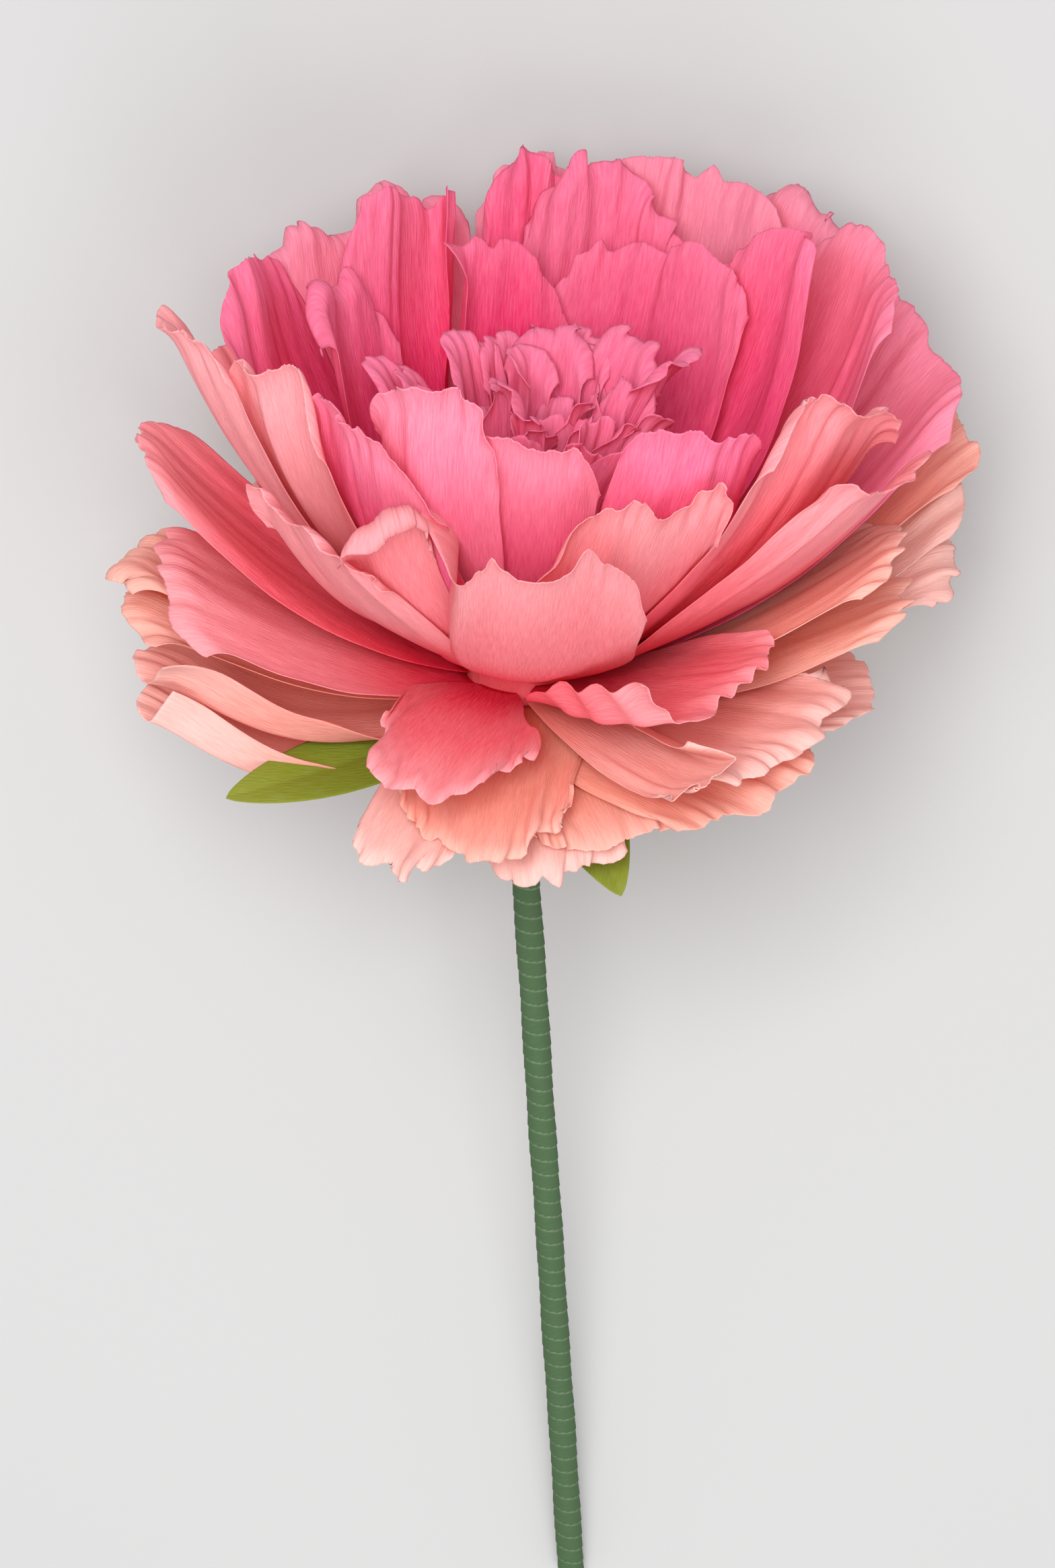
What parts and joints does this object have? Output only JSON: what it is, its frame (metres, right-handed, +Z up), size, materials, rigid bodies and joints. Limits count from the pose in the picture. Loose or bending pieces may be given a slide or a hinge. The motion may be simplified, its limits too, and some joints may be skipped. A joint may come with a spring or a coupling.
{
  "type": "crepe paper peony",
  "caption": "Giant peony of cut and stretched crepe paper petals on a foam core, with a leafy calyx and a long rod stem wound with crepe tape.",
  "frame": {"origin": "bottom centre of the lying flower's bounding box, on the surface that it lies on", "axes": "+Z up from that surface, +Y from the stem's cut end towards the bloom's head, +X to the right of the bloom as seen from above with its head away from the viewer"},
  "size_m": [0.5108, 0.9172, 0.4456],
  "materials": {
    "hot_pink_crepe": "matte",
    "pink_crepe": "matte",
    "coral_crepe": "matte",
    "peach_crepe": "matte",
    "blush_crepe": "matte",
    "leaf_green_crepe": "matte",
    "green_tape": "matte",
    "papered_foam": "matte",
    "bare_wood": "matte"
  },
  "bodies": {
    "root": {"blush_petal_01": "blush_crepe", "blush_petal_02": "blush_crepe", "blush_petal_03": "blush_crepe", "blush_petal_04": "blush_crepe", "blush_petal_05": "blush_crepe", "blush_petal_06": "blush_crepe", "blush_petal_07": "blush_crepe", "blush_petal_08": "blush_crepe", "blush_petal_09": "blush_crepe", "blush_petal_10": "blush_crepe", "blush_petal_11": "blush_crepe", "blush_petal_12": "blush_crepe", "calyx": "leaf_green_crepe", "centre_strip_1": "hot_pink_crepe", "centre_strip_2": "hot_pink_crepe", "coral_petal_01": "coral_crepe", "coral_petal_02": "coral_crepe", "coral_petal_03": "coral_crepe", "coral_petal_04": "coral_crepe", "coral_petal_05": "coral_crepe", "coral_petal_06": "coral_crepe", "coral_petal_07": "coral_crepe", "coral_petal_08": "coral_crepe", "coral_petal_09": "coral_crepe", "coral_petal_10": "coral_crepe", "coral_petal_11": "coral_crepe", "coral_petal_12": "coral_crepe", "foam_core": "papered_foam", "hot_pink_petal_01": "hot_pink_crepe", "hot_pink_petal_02": "hot_pink_crepe", "hot_pink_petal_03": "hot_pink_crepe", "hot_pink_petal_04": "hot_pink_crepe", "hot_pink_petal_05": "hot_pink_crepe", "hot_pink_petal_06": "hot_pink_crepe", "hot_pink_petal_07": "hot_pink_crepe", "hot_pink_petal_08": "hot_pink_crepe", "hot_pink_petal_09": "hot_pink_crepe", "peach_petal_01": "peach_crepe", "peach_petal_02": "peach_crepe", "peach_petal_03": "peach_crepe", "peach_petal_04": "peach_crepe", "peach_petal_05": "peach_crepe", "peach_petal_06": "peach_crepe", "peach_petal_07": "peach_crepe", "peach_petal_08": "peach_crepe", "peach_petal_09": "peach_crepe", "peach_petal_10": "peach_crepe", "pink_petal_01": "pink_crepe", "pink_petal_02": "pink_crepe", "pink_petal_03": "pink_crepe", "pink_petal_04": "pink_crepe", "pink_petal_05": "pink_crepe", "pink_petal_06": "pink_crepe", "pink_petal_07": "pink_crepe", "pink_petal_08": "pink_crepe", "pink_petal_09": "pink_crepe", "pink_petal_10": "pink_crepe", "stem_rod": "bare_wood", "stem_wrap": "green_tape"}
  },
  "joints": []
}
